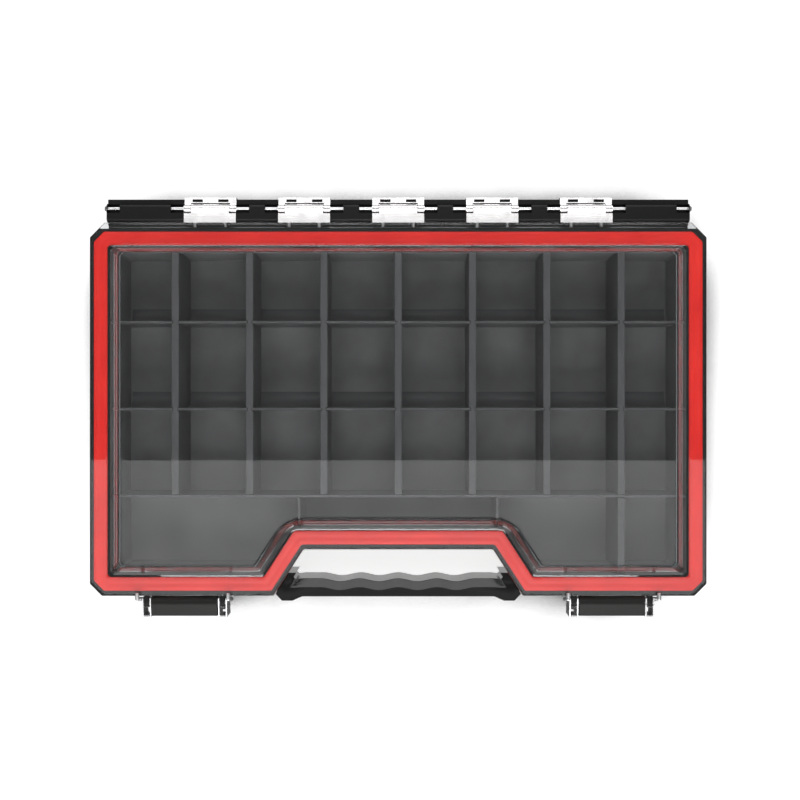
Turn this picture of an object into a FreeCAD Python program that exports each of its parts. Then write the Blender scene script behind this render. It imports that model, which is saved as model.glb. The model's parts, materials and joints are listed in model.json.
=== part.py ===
import FreeCAD, Part
import math
import os

# A flat tackle case: a compartmented tray, a clear domed lid on a seal, a steel-rod
# hinge along the back, two bail latches and a carrying handle across a notch in the front.
# The case lies flat. Z is up, Y points to the hinges, and the origin is the middle of the
# underside, below the middle of the lid's outline.

# ---- driving dimensions, mm ----
case_width = 368.0
case_depth = 222.8
rear_corner = 8.8
front_corner = 7.2
notch_top_width = 113.0
notch_mouth_width = 149.0
notch_depth = 27.7

# tray
base_height = 45.0
tray_wall = 2.4
tray_floor = 2.4
wall_draft = 2.5
rim_height = 6.0
rim_lip = 1.6
step_width = 5.0
step_height = 1.2
gusset_thickness = 2.0
gusset_height = 12.0
side_gussets = 5
rear_gussets = 10

# seal
gasket_width = 8.3
gasket_side_margin = 1.8
gasket_front_margin = 2.7
seal_corner = 6.0
groove_depth = 3.0
groove_clearance = 0.2
seal_gap = 1.0
bead_width = 2.0
bead_height = 0.4
seal_clearance = 0.1

# lid
lid_wall = 3.0
panel_wall = 2.4
dome_rise = 8.5
dome_side_run = 9.4
dome_front_run = 7.8
dome_rear_run = 5.0
dome_hollow_inset = 0.4
dome_edge_round = 1.2
dome_notch_round = 9.0
notch_foot_round = 2.5
inner_corner = 1.2
hinge_wall = 2.5
hinge_wall_gap = 0.8
hinge_wall_drop = 3.0
gate_mark_diameter = 1.6
gate_mark_depth = 0.3
gate_mark_y = -16.5

# dividers
divider_height = 40.0
long_divider_thickness = 4.5
long_dividers = 7
end_cell_reach = 38.2
slot_depth = 1.0
slot_clearance = 0.3
thin_wall = 1.5
row_pitch = 52.3
scoop_radius = 10.0
scoop_lip = 0.6
front_divider_offset = 3.1
seat_gap = 0.3

# hinge
rail_width = 348.0
rail_depth = 14.3
rail_gap = 0.5
rail_floor = 3.4
rail_round = 2.2
axis_rise = 0.9
axis_setback = 8.6
rod_diameter = 2.2
rod_overhang = 1.6
rod_head_diameter = 4.2
barrel_diameter = 5.6
hinge_running_gap = 0.05
clips = 5
clip_pitch = 56.2
clip_width = 31.0
clip_clearance = 0.4
leaf_thickness = 1.0
end_knuckle = 3.8
knuckle_gap = 0.3
strip_setback = 3.5
strip_window_start = 4.6
strip_window_end = 10.8
back_leaf_height = 10.0
window_width = 7.5
rivet_shank = 2.0
rivet_head = 3.2
rivet_head_height = 0.7
rivet_clearance = 0.05
rivet_offset = 9.0
dimple_diameter = 1.2

# latches
latch_side_margin = 55.7
latch_cover_width = 39.6
latch_frame_width = 51.0
latch_wire = 2.4
latch_setback = 4.9
latch_pin_drop = 3.0
crossbar_radius = 6.4
crossbar_past_centre = 8.0
cover_reach = 7.8
cover_bulge = 0.6
cover_brow = 0.8
cover_length = 30.0
cover_wall = 2.0
frame_sheet = 0.8
frame_box_width = 5.4
frame_reach = 8.6
frame_drop = 13.0
lug_width = 2.9
lug_radius = 2.8
hook_overlap = 2.0
latch_clearance = 0.3
latch_swing_gap = 0.4
pin_running_gap = 0.05

# handle
grip_reach = 1.6
grip_depth = 10.5
grip_height = 34.0
grip_bottom = 7.0
grip_chamfer = 5.0
grip_slope_drop = 3.0
finger_pitch = 23.4
fingers = 4
wave_points_per_finger = 8
finger_relief = 1.8
boss_reach = 2.6
boss_outer_chamfer = 4.0
boss_width = 6.6
boss_taper = 6.0
boss_rear = 12.4
handle_key_width = 4.0
handle_key_depth = 3.0
handle_key_clearance = 0.25

# ---- derived places ----
gasket_rear_margin = gasket_side_margin + hinge_wall + hinge_wall_gap
rim_rear = hinge_wall + hinge_wall_gap
inner_extra = gasket_width + rim_lip
inner_half_width = case_width / 2 - gasket_side_margin - inner_extra
long_divider_pitch = (inner_half_width - end_cell_reach) / ((long_dividers - 1) / 2)
front_divider_x = notch_top_width / 2 + front_divider_offset
case_corners = (rear_corner, front_corner)
seal_corners = (seal_corner, seal_corner)
inner_corners = (inner_corner, inner_corner)
lid_under = base_height + seal_gap
lid_flange_top = lid_under + lid_wall
lid_top = lid_flange_top + dome_rise
rear_edge = case_depth / 2
front_edge = -case_depth / 2
axis_y = rear_edge + axis_setback
latch_x = case_width / 2 - latch_side_margin
axis_z = base_height + axis_rise
rail_rear = rear_edge + rail_depth
rail_front = rear_edge + rail_gap
rim_under = base_height - rim_height
barrel_radius = barrel_diameter / 2
leaf_top = axis_z + barrel_radius
pin_y = front_edge - latch_setback
pin_z = base_height - latch_pin_drop
notch_slope = (notch_mouth_width - notch_top_width) / 2 / notch_depth
grip_top = grip_bottom + grip_height
grip_front = front_edge - grip_reach
divider_top = tray_floor + divider_height

V = FreeCAD.Vector
X = V(1, 0, 0)
Y = V(0, 1, 0)


# ---- helpers ----
def face(points):
    """A flat face on a closed polygon."""
    return Part.Face(Part.makePolygon(points + [points[0]]))


def prism(points, low, high):
    """An upright prism on plan points (x, y), between two heights."""
    return face([V(x, y, low) for x, y in points]).extrude(V(0, 0, high - low))


def frustum(low_points, low, high_points, high):
    """A solid with sloping sides between two plan outlines of equally many corners."""
    rings = []
    for points, z in ((low_points, low), (high_points, high)):
        corners = [V(x, y, z) for x, y in points]
        rings.append(Part.makePolygon(corners + [corners[0]]))
    return Part.makeLoft(rings, True, True)


def block(x0, x1, y0, y1, z0, z1):
    """A box between two corners."""
    return Part.makeBox(x1 - x0, y1 - y0, z1 - z0, V(x0, y0, z0))


def rod_x(radius, x0, x1, y, z):
    """A cylinder along X."""
    return Part.makeCylinder(radius, x1 - x0, V(x0, y, z), X)


def rod_y(radius, y0, y1, x, z):
    """A cylinder along Y."""
    return Part.makeCylinder(radius, y1 - y0, V(x, y0, z), Y)


def profile_x(points, x0, x1):
    """A prism along X on profile points (y, z)."""
    return face([V(x0, y, z) for y, z in points]).extrude(V(x1 - x0, 0, 0))


def fused(solids):
    """One clean solid from overlapping or touching ones."""
    first, *rest = solids
    return first.multiFuse(rest).removeSplitter() if rest else first


def mirrored(shape):
    """The shape and its mirror image in the plane x = 0."""
    return [shape, shape.mirror(V(0, 0, 0), X)]


def outline(side, rear, front, corners):
    """Plan corners of the case, counter-clockwise, each edge moved in by its own inset.

    The notch edges belong to the front: they move square to themselves. The two corner sizes
    are those of the rear and the front chamfers."""
    rear_cut, front_cut = corners
    x = case_width / 2 - side
    y_rear = rear_edge - rear
    y_front = front_edge + front
    square = front * math.hypot(1, notch_slope)
    x_mouth = notch_mouth_width / 2 - notch_slope * front + square
    x_top = notch_top_width / 2 - notch_slope * front + square
    y_notch = front_edge + notch_depth + front
    right = [
        (x_top, y_notch),
        (x_mouth, y_front),
        (x - front_cut, y_front),
        (x, y_front + front_cut),
        (x, y_rear - rear_cut),
        (x - rear_cut, y_rear),
    ]
    left = [(-px, py) for px, py in reversed(right)]
    return right + left


def gasket_outline(extra, corners):
    """The outline of the seal's outer edge, moved in by extra."""
    return outline(
        gasket_side_margin + extra,
        gasket_rear_margin + extra,
        gasket_front_margin + extra,
        corners,
    )


def flank_x(y, inset):
    """X of the notch's right flank at y, moved into the case by inset."""
    return notch_mouth_width / 2 - notch_slope * (y - front_edge) + inset * math.hypot(1, notch_slope)


def clip_centres():
    """X of the middle of each hinge clip."""
    return [(i - (clips - 1) / 2) * clip_pitch for i in range(clips)]


def divider_centres():
    """X of the middle of each long divider."""
    return [(i - (long_dividers - 1) / 2) * long_divider_pitch for i in range(long_dividers)]


def inner_side(z):
    """Half the tray's inside width at height z."""
    return inner_half_width - wall_draft * (base_height - z) / (base_height - tray_floor)


def inner_rear(z):
    """Y of the tray's inside rear wall at height z."""
    top = rear_edge - gasket_rear_margin - inner_extra
    return top - wall_draft * (base_height - z) / (base_height - tray_floor)


def inner_front(z):
    """Y of the tray's inside front wall at height z."""
    top = front_edge + gasket_front_margin + inner_extra
    return top + wall_draft * (base_height - z) / (base_height - tray_floor)


# ---- tray ----
def tray_shell():
    """The moulded tray: drafted walls, floor, a wide rim and a stepped edge under the floor."""
    outer_corners = (inner_corner + tray_wall, inner_corner + tray_wall)
    outer_top = gasket_outline(inner_extra - tray_wall, outer_corners)
    outer_low = gasket_outline(inner_extra - tray_wall + wall_draft, outer_corners)
    body = frustum(outer_low, 0, outer_top, base_height)
    rim_corners = (rear_corner - rim_rear, front_corner)
    rim = prism(outline(0, rim_rear, 0, rim_corners), rim_under, base_height)
    cavity = frustum(
        gasket_outline(inner_extra + wall_draft, inner_corners),
        tray_floor,
        gasket_outline(inner_extra, inner_corners),
        base_height,
    )
    edge = prism(outline(0, 0, 0, case_corners), 0, step_height)
    pad = prism(gasket_outline(inner_extra + wall_draft + step_width, inner_corners), 0, step_height)
    return body.fuse(rim).cut(cavity).cut(edge.cut(pad))


def seal_groove():
    """The channel in the rim's top face that holds the seal."""
    bottom = base_height - groove_depth
    outer = prism(gasket_outline(-groove_clearance, seal_corners), bottom, base_height)
    inner = prism(gasket_outline(gasket_width + groove_clearance, inner_corners), bottom, base_height)
    return outer.cut(inner)


def side_gusset(y):
    """A web that carries the rim from the right-hand wall."""
    root = inner_half_width + tray_wall / 2
    tip = case_width / 2 - rear_corner / 2
    low = rim_under - gusset_height
    corners = [V(root, y, rim_under), V(tip, y, rim_under), V(root, y, low)]
    return face(corners).extrude(V(0, gusset_thickness, 0))


def rear_gusset(x):
    """A web that carries the rim and the hinge rail from the rear wall."""
    root = rear_edge - gasket_rear_margin - inner_extra + tray_wall / 2
    low = rim_under - gusset_height
    profile = [(root, rim_under), (rail_rear - rail_round, rim_under), (root, low)]
    return profile_x(profile, x, x + gusset_thickness)


def hinge_rail():
    """The rail along the back: a shelf, a rear wall and the knuckles that hold the rod."""
    end = rail_width / 2
    knuckle_rear = axis_y + barrel_radius
    wall_top = axis_z - leaf_thickness
    shelf = block(-end, end, rear_edge - rim_rear, rail_rear, rim_under, rim_under + rail_floor)
    rear_wall = block(-end, end, knuckle_rear, rail_rear, rim_under, wall_top)
    bar = block(-end, end, rail_front, knuckle_rear, rim_under, leaf_top)
    long_edges = [e for e in bar.Edges if e.BoundBox.XLength > end and e.BoundBox.ZMin > axis_z]
    bar = bar.makeFillet(rail_round, long_edges)
    for x in clip_centres():
        half = clip_width / 2 + clip_clearance
        bar = bar.cut(block(x - half, x + half, rail_front, knuckle_rear, rim_under + rail_floor, leaf_top))
    for x in window_starts():
        pocket_front = axis_y - barrel_radius
        bar = bar.cut(
            block(x, x + window_width, pocket_front, knuckle_rear, rim_under + rail_floor, leaf_top)
        )
    rail = fused([shelf, rear_wall, bar])
    bore = rod_x(rod_diameter / 2 + hinge_running_gap, -end, end, axis_y, axis_z)
    return rail.cut(bore)


def window_starts():
    """Left edge of each pocket that bares the rod: at both ends and beside each clip."""
    starts = [-rail_width / 2 + knuckle_gap, rail_width / 2 - knuckle_gap - window_width]
    for x in clip_centres():
        reach = clip_width / 2 + clip_clearance
        starts.append(x - reach - window_width)
        starts.append(x + reach)
    return starts


def latch_lugs(centre):
    """Two lugs on the rim that carry a latch's pin inside the frame's boxes, each with a web."""
    lugs = []
    wall_y = front_edge + gasket_front_margin + inner_extra - tray_wall / 2
    web = [(front_edge, rim_under), (wall_y, rim_under), (wall_y, rim_under - gusset_height)]
    for side in (-1, 1):
        middle = centre + side * (latch_frame_width - frame_box_width) / 2
        x0 = middle - lug_width / 2
        x1 = middle + lug_width / 2
        nose = rod_x(lug_radius, x0, x1, pin_y, pin_z)
        arm = block(x0, x1, pin_y, front_edge + rim_lip, pin_z - lug_radius, pin_z + lug_radius)
        lugs += [nose, arm, profile_x(web, x0, x1)]
    return lugs


def handle_key():
    """The T-section key on the right-hand notch wall that the handle slides onto."""
    return handle_key_shape(0).common(prism(outline(0, 0, 0, case_corners), 0, rim_under))


def handle_key_shape(clearance):
    """The key's upright T, grown by a clearance."""
    across = V(-notch_slope, 1, 0).normalize()
    outward = V(-across.y, across.x, 0)
    depth = tray_wall / 2 + wall_draft + handle_key_depth
    y = front_edge + (boss_rear + rim_lip - depth * outward.y) / 2
    wall_inset = gasket_front_margin + inner_extra - tray_wall / 2
    x = flank_x(y, wall_inset)
    root = V(x, y, grip_bottom + grip_chamfer)
    half = handle_key_width / 2 + clearance
    stem = half / 2
    reach = depth + clearance
    neck = reach - handle_key_depth / 2 - 2 * clearance
    corners = [
        root - across * stem,
        root - across * stem + outward * neck,
        root - across * half + outward * neck,
        root - across * half + outward * reach,
        root + across * half + outward * reach,
        root + across * half + outward * neck,
        root + across * stem + outward * neck,
        root + across * stem,
    ]
    return face(corners).extrude(V(0, 0, rim_under - root.z))


def base_tray():
    """The tray with its rim groove, gussets, hinge rail, latch lugs and handle keys."""
    parts = [tray_shell(), hinge_rail()]
    span = case_depth / 2 - rear_corner - gasket_rear_margin
    for i in range(side_gussets):
        y = -span + 2 * span * i / (side_gussets - 1)
        parts += mirrored(side_gusset(y))
    for i in range(rear_gussets):
        x = (i - (rear_gussets - 1) / 2) * rail_width / rear_gussets
        parts.append(rear_gusset(x - gusset_thickness / 2))
    for side in (-1, 1):
        parts += latch_lugs(side * latch_x)
    parts += mirrored(handle_key())
    tray = fused(parts).cut(seal_groove())
    for side in (-1, 1):
        half = latch_frame_width / 2
        middle = side * latch_x
        bore = rod_x(latch_wire / 2 + pin_running_gap, middle - half, middle + half, pin_y, pin_z)
        tray = tray.cut(bore)
    for x in clip_centres():
        for dx in (-rivet_offset, rivet_offset):
            tray = tray.cut(rivet_hole(x + dx, rail_rear - rail_floor, rail_rear, base_rivet_z()))
    cavity = frustum(
        gasket_outline(inner_extra + wall_draft, inner_corners),
        tray_floor,
        gasket_outline(inner_extra, inner_corners),
        base_height,
    )
    return tray.cut(cavity)


# ---- seal and lid ----
def gasket():
    """The rubber ring in the rim's groove, with a raised bead along its middle."""
    bottom = base_height - groove_depth
    top = lid_under - seal_clearance
    ring = prism(gasket_outline(0, seal_corners), bottom, top - bead_height)
    ring = ring.cut(prism(gasket_outline(gasket_width, inner_corners), bottom, top))
    edge = (gasket_width - bead_width) / 2
    bead_corners = (seal_corner / 2, seal_corner / 2)
    bead = prism(gasket_outline(edge, bead_corners), top - bead_height, top)
    bead = bead.cut(prism(gasket_outline(edge + bead_width, inner_corners), bottom, top))
    return fused([ring, bead])


def dome(shift, low, high):
    """The raised middle of the lid, moved in by a shift: sloping sides and, at the notch, corners
    that grow rounder as they rise."""
    foot = gasket_outline(gasket_width + shift, inner_corners)
    crown = outline(
        gasket_side_margin + gasket_width + shift + dome_side_run,
        gasket_rear_margin + gasket_width + shift + dome_rear_run,
        gasket_front_margin + gasket_width + shift + dome_front_run,
        inner_corners,
    )
    solid = frustum(foot, low, crown, high)
    for side in (-1, 1):
        edge = notch_corner_edge(solid, side)
        rises = edge.Vertexes[0].Z < edge.Vertexes[-1].Z
        radii = (notch_foot_round, dome_notch_round) if rises else (dome_notch_round, notch_foot_round)
        solid = solid.makeFillet(*radii, [edge])
    return solid


def notch_corner_edge(solid, side):
    """The sloping edge of a dome at one inner corner of the notch."""
    for edge in solid.Edges:
        middle = edge.CenterOfMass
        sloping = edge.BoundBox.ZLength > dome_rise / 2
        if sloping and 0 < side * middle.x < notch_mouth_width / 2 and middle.y > front_edge + notch_depth:
            return edge


def lid():
    """The clear lid: a flat flange on the seal, a bevelled dome and a wall along the hinge."""
    flange = prism(outline(0, 0, 0, case_corners), lid_under, lid_flange_top)
    raised = dome(0, lid_flange_top, lid_top)
    crown_edges = [edge for edge in raised.Edges if edge.BoundBox.ZMin > lid_top - dome_edge_round]
    raised = raised.makeFillet(dome_edge_round, crown_edges)
    hollow = dome(dome_hollow_inset, lid_under, lid_top - panel_wall)
    end = case_width / 2 - rear_corner
    wall = block(-end, end, rear_edge - hinge_wall, rear_edge, lid_under - hinge_wall_drop, lid_under)
    gate_foot = V(0, gate_mark_y, lid_top - gate_mark_depth)
    gate_mark = Part.makeCylinder(gate_mark_diameter / 2, gate_mark_depth, gate_foot)
    shell = fused([flange, raised, wall]).cut(hollow).cut(gate_mark)
    for x in clip_centres():
        for dx in (-rivet_offset, rivet_offset):
            shell = shell.cut(rivet_hole(x + dx, rear_edge - hinge_wall, rear_edge, lid_rivet_z()))
    return shell


# ---- dividers ----
def slot_ys():
    """Y of each row of cross dividers."""
    return [row_pitch, 0.0]


def long_divider(x, reaches_front):
    """A thick upright divider with a slot in each side for every cross divider."""
    low = tray_floor
    front_low = -row_pitch + thin_wall / 2 + seat_gap
    front_top = front_low
    if reaches_front:
        front_low = inner_front(low) + seat_gap
        front_top = inner_front(divider_top) + seat_gap
    profile = [
        (front_low, low),
        (inner_rear(low) - seat_gap, low),
        (inner_rear(divider_top) - seat_gap, divider_top),
        (front_top, divider_top),
    ]
    half = long_divider_thickness / 2
    wall = profile_x(profile, x - half, x + half)
    slot = thin_wall / 2 + slot_clearance / 2
    for y in slot_ys():
        for side in (-1, 1):
            edge = sorted((x + side * half, x + side * (half - slot_depth)))
            wall = wall.cut(block(edge[0], edge[1], y - slot, y + slot, low, divider_top))
    if reaches_front:
        y0 = -row_pitch - thin_wall / 2 - seat_gap
        y1 = -row_pitch + thin_wall / 2 + seat_gap
        wall = wall.cut(block(x - half, x + half, y0, y1, low + divider_height / 2, divider_top))
    return wall


def scoop(x0, x1, y):
    """The curved foot behind a thin wall, so that small things can be swept up and out."""
    low = tray_floor
    reach = scoop_radius
    start = V(x0, y, low)
    tip = V(x0, y + reach, low)
    tip_top = V(x0, y + reach, low + scoop_lip)
    head = V(x0, y, low + reach)
    bend = reach * (1 - math.sqrt(0.5))
    arc = Part.Arc(tip_top, V(x0, y + bend, low + bend + scoop_lip / 2), head).toShape()
    edges = [Part.makeLine(start, tip), Part.makeLine(tip, tip_top), arc, Part.makeLine(head, start)]
    return Part.Face(Part.Wire(edges)).extrude(V(x1 - x0, 0, 0))


def cross_divider(cell, y):
    """A thin wall across one cell, its ends in the long dividers' slots."""
    centres = divider_centres()
    half = long_divider_thickness / 2
    engage = slot_depth - slot_clearance
    low, top = tray_floor, divider_top
    if cell == 0:
        left = (-inner_side(low) + seat_gap, -inner_side(top) + seat_gap)
    else:
        left = (centres[cell - 1] + half - engage,) * 2
    if cell == long_dividers:
        right = (inner_side(low) - seat_gap, inner_side(top) - seat_gap)
    else:
        right = (centres[cell] - half + engage,) * 2
    corners = [
        V(left[0], y - thin_wall / 2, low),
        V(right[0], y - thin_wall / 2, low),
        V(right[1], y - thin_wall / 2, top),
        V(left[1], y - thin_wall / 2, top),
    ]
    wall = face(corners).extrude(V(0, thin_wall, 0))
    foot = scoop(left[0] + slot_depth, right[0] - slot_depth, y + thin_wall / 2)
    return fused([wall, foot])


def front_wall():
    """The thin wall that closes the three rows off from the front row."""
    low, top = tray_floor, divider_top
    y = -row_pitch - thin_wall / 2
    corners = [
        V(-inner_side(low) + seat_gap, y, low),
        V(inner_side(low) - seat_gap, y, low),
        V(inner_side(top) - seat_gap, y, top),
        V(-inner_side(top) + seat_gap, y, top),
    ]
    wall = face(corners).extrude(V(0, thin_wall, 0))
    last = divider_centres()[-1]
    half = long_divider_thickness / 2 + seat_gap
    crossing = low + divider_height / 2 + seat_gap
    return wall.cut(block(last - half, last + half, y, y + thin_wall, low, crossing))


def front_divider(side):
    """A short thin wall from the front wall to the notch."""
    low, top = tray_floor, divider_top
    shift = notch_depth
    y1 = -row_pitch - thin_wall / 2 - seat_gap
    profile = [
        (inner_front(low) + shift + seat_gap, low),
        (y1, low),
        (y1, top),
        (inner_front(top) + shift + seat_gap, top),
    ]
    x = side * front_divider_x
    return profile_x(profile, x - thin_wall / 2, x + thin_wall / 2)


# ---- hinge ----
def hinge_rod():
    """The long steel rod with a peened head at each end."""
    end = rail_width / 2 + rod_overhang
    rod = rod_x(rod_diameter / 2, -end, end, axis_y, axis_z)
    heads = []
    for side in (-1, 1):
        start = V(side * (rail_width / 2 + knuckle_gap), axis_y, axis_z)
        head = Part.makeCone(
            rod_head_diameter / 2, rod_diameter / 2, rod_overhang - knuckle_gap, start, X * side
        )
        heads.append(head)
    return fused([rod] + heads)


def base_rivet_z():
    """Height of the rivets that hold the base leaves to the rail."""
    return rim_under + rail_floor / 2


def lid_rivet_z():
    """Height of the rivets that hold the lid leaves to the hinge wall."""
    return lid_under


def rivet_hole(x, y0, y1, z):
    """A clearance hole for a rivet."""
    return rod_y(rivet_shank / 2 + rivet_clearance, y0, y1, x, z)


def rivet(x, y0, y1, z):
    """A rivet along Y with a low domed head on its rear end."""
    shank = rod_y(rivet_shank / 2, y0, y1, x, z)
    head = Part.makeCone(rivet_head / 2, rivet_shank / 2, rivet_head_height, V(x, y1, z), Y)
    return fused([shank, head])


def barrel(x0, x1):
    """A length of hinge barrel."""
    return rod_x(barrel_radius, x0, x1, axis_y, axis_z)


def rod_bore(x):
    """The running bore for the rod through one clip."""
    half = clip_width / 2
    return rod_x(rod_diameter / 2 + hinge_running_gap, x - half, x + half, axis_y, axis_z)


def dimples(x0, x1):
    """Two staking dimples in a barrel's crown."""
    marks = []
    for x in (x0, x1):
        marks.append(Part.makeSphere(dimple_diameter / 2, V(x, axis_y, leaf_top)))
    return marks


def lid_leaf(x):
    """The steel leaf on the lid: a long middle knuckle, a flat and a tab down the lid's rear face."""
    half = clip_width / 2
    middle = half - end_knuckle - knuckle_gap
    flat_rear = axis_y - barrel_radius - knuckle_gap
    under = leaf_top - leaf_thickness
    tab_low = lid_under - hinge_wall_drop + knuckle_gap
    knuckle = barrel(x - middle, x + middle)
    neck = block(x - middle, x + middle, flat_rear, axis_y, under, leaf_top)
    flat = block(x - half, x + half, rear_edge, flat_rear, under, leaf_top)
    tab = block(x - half, x + half, rear_edge, rear_edge + leaf_thickness, tab_low, leaf_top)
    body = fused([knuckle, neck, flat, tab]).cut(rod_bore(x))
    for dx in (-rivet_offset, rivet_offset):
        body = body.cut(rivet_hole(x + dx, rear_edge, rear_edge + leaf_thickness, lid_rivet_z()))
    return body


def base_leaf(x):
    """The steel leaf on the rail: two end knuckles, a windowed strip and a riveted back plate."""
    half = clip_width / 2
    under = axis_z - leaf_thickness
    strip = block(
        x - half, x + half, axis_y + strip_setback, rail_rear + leaf_thickness, under, axis_z
    )
    back = block(
        x - half, x + half, rail_rear, rail_rear + leaf_thickness, axis_z - back_leaf_height, axis_z
    )
    pieces = [strip, back]
    for side in (-1, 1):
        edge = sorted((x + side * half, x + side * (half - end_knuckle)))
        pieces.append(barrel(edge[0], edge[1]))
        pieces.append(block(edge[0], edge[1], axis_y, axis_y + strip_setback, under, axis_z))
    body = fused(pieces).cut(rod_bore(x))
    window_front = axis_y + strip_setback + leaf_thickness / 2
    for side in (-1, 1):
        edge = sorted((x + side * strip_window_start, x + side * strip_window_end))
        body = body.cut(block(edge[0], edge[1], window_front, rail_rear, under, axis_z))
    for mark in dimples(x - half + end_knuckle / 2, x + half - end_knuckle / 2):
        body = body.cut(mark)
    for dx in (-rivet_offset, rivet_offset):
        hole = rivet_hole(x + dx, rail_rear, rail_rear + leaf_thickness, base_rivet_z())
        body = body.cut(hole)
    return body


def hinge_rivets(y0, y1, z):
    """Two rivets in each clip."""
    solids = []
    for x in clip_centres():
        for dx in (-rivet_offset, rivet_offset):
            solids.append(rivet(x + dx, y0, y1, z))
    return Part.makeCompound(solids)


# ---- latches ----
def cover_profile():
    """Side profile (y, z) of the latch cover, from the crown over its pin down to the finger tip."""
    face_y = pin_y - cover_reach
    tip_z = pin_z - cover_length
    crown = cover_crown()
    return [
        (pin_y, pin_z + crown),
        (pin_y - cover_reach / 2, pin_z + crown - cover_brow),
        (face_y, pin_z + crown / 2),
        (face_y - cover_bulge, pin_z - cover_length / 2),
        (face_y + cover_bulge, tip_z + cover_wall),
        (face_y - cover_wall, tip_z - cover_wall / 2),
        (face_y - cover_wall / 2, tip_z - cover_wall),
        (face_y + 2 * cover_wall, tip_z),
        (face_y + 2 * cover_wall, pin_z - crown),
        (pin_y, pin_z - crown),
    ]


def cover_crown():
    """Radius of the crown round the pin, which turns past the rim's front face."""
    return latch_setback - latch_swing_gap


def latch_cover(centre):
    """The plastic lever that the fingers lift: a curved plate with a crown over the pin."""
    half = latch_cover_width / 2
    plate = profile_x(cover_profile(), centre - half, centre + half)
    crown = rod_x(cover_crown(), centre - half, centre + half, pin_y, pin_z)
    bore = rod_x(latch_wire / 2 + pin_running_gap, centre - half, centre + half, pin_y, pin_z)
    return fused([plate, crown]).cut(bore)


def crossbar_place():
    """(y, z) of the bail's crossbar, just past straight below the pin."""
    turn = math.radians(crossbar_past_centre)
    return pin_y + crossbar_radius * math.sin(turn), pin_z - crossbar_radius * math.cos(turn)


def latch_frame(centre):
    """The stamped steel channel at both ends of the cover: two ears and a web each."""
    bar_y, bar_z = crossbar_place()
    ear_round = latch_wire / 2 + 2 * frame_sheet
    boxes = []
    for side in (-1, 1):
        outer = centre + side * latch_frame_width / 2
        inner = centre + side * (latch_frame_width / 2 - frame_box_width)
        for x in (outer - side * frame_sheet, inner):
            x0, x1 = sorted((x, x + side * frame_sheet))
            plate = profile_x(
                [
                    (pin_y + ear_round, pin_z + ear_round),
                    (pin_y - frame_reach, pin_z + ear_round / 2),
                    (pin_y - frame_reach, pin_z - frame_drop),
                    (bar_y + ear_round, bar_z - ear_round),
                ],
                x0,
                x1,
            )
            boxes.append(plate)
        x0, x1 = sorted((inner, outer))
        web = block(
            x0, x1, pin_y - frame_reach, pin_y - frame_reach + frame_sheet,
            pin_z - frame_drop, pin_z + ear_round / 2,
        )
        boxes.append(web)
    tie_y = pin_y - cover_reach + 2 * cover_wall
    half = latch_frame_width / 2
    tie = block(
        centre - half, centre + half, tie_y, tie_y + frame_sheet,
        pin_z - frame_drop, pin_z - cover_crown(),
    )
    frame = fused(boxes + [tie])
    running = latch_wire / 2 + pin_running_gap
    for y, z in ((pin_y, pin_z), crossbar_place()):
        frame = frame.cut(rod_x(running, centre - half, centre + half, y, z))
    return frame


def latch_pin(centre):
    """The steel pin that the lever turns on."""
    half = latch_frame_width / 2
    return rod_x(latch_wire / 2, centre - half, centre + half, pin_y, pin_z)


def latch_bail(centre):
    """The bent wire: a crossbar in the lever, two arms and two hooks over the lid's edge."""
    radius = latch_wire / 2
    arm_x = latch_frame_width / 2 + latch_clearance + radius
    bar_y, bar_z = crossbar_place()
    hook_z = lid_flange_top + latch_clearance + radius
    shoulder_y = front_edge - latch_clearance - radius
    hook_y = front_edge + hook_overlap
    path = [
        V(-arm_x, hook_y, hook_z),
        V(-arm_x, shoulder_y, hook_z),
        V(-arm_x, bar_y, bar_z),
        V(arm_x, bar_y, bar_z),
        V(arm_x, shoulder_y, hook_z),
        V(arm_x, hook_y, hook_z),
    ]
    pieces = []
    for start, stop in zip(path, path[1:]):
        run = stop - start
        pieces.append(Part.makeCylinder(radius, run.Length, start, run))
    for corner in path[1:-1]:
        pieces.append(Part.makeSphere(radius, corner))
    wire = fused(pieces)
    wire.translate(V(centre, 0, 0))
    return wire


# ---- handle ----
def grip_outline(chamfer, z):
    """The handle's plan wire at height z, its inner side moved forwards by chamfer."""
    inner_y = grip_front + grip_depth - chamfer
    run = finger_pitch * fingers / 2
    shoulder = flank_x(front_edge, 0) - boss_outer_chamfer - boss_width - boss_taper
    rear_y = front_edge + boss_rear - chamfer
    clear = latch_clearance
    right = [
        (run, inner_y),
        (shoulder, inner_y),
        (flank_x(rear_y, -clear) - boss_outer_chamfer, rear_y - boss_outer_chamfer),
        (flank_x(rear_y, -clear), rear_y),
        (flank_x(front_edge, -clear), front_edge),
        (flank_x(front_edge, -clear) - boss_outer_chamfer, grip_front - boss_reach),
        (shoulder + boss_taper, grip_front - boss_reach),
        (shoulder, grip_front),
    ]
    points = [V(x, y, z) for x, y in right] + [V(-x, y, z) for x, y in reversed(right)]
    edges = [Part.makeLine(a, b) for a, b in zip(points, points[1:])]
    steps = wave_points_per_finger * fingers
    wave = []
    for i in range(steps + 1):
        x = -run + 2 * run * i / steps
        dip = finger_relief * (1 - math.cos(2 * math.pi * x / finger_pitch)) / 2
        wave.append(V(x, inner_y - dip, z))
    curve = Part.BSplineCurve()
    curve.interpolate(Points=wave)
    edges.append(curve.toShape())
    return Part.Wire(edges)


def handle():
    """The carrying handle: a grip with four finger hollows between two bosses in the notch."""
    levels = [
        (grip_chamfer, grip_bottom),
        (0, grip_bottom + grip_chamfer),
        (0, grip_top - grip_slope_drop),
        (grip_chamfer, grip_top),
    ]
    wires = [grip_outline(chamfer, z) for chamfer, z in levels]
    grip = fused([Part.makeLoft(list(pair), True, True) for pair in zip(wires, wires[1:])])
    return fused([grip] + mirrored(handle_tongue()))


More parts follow.
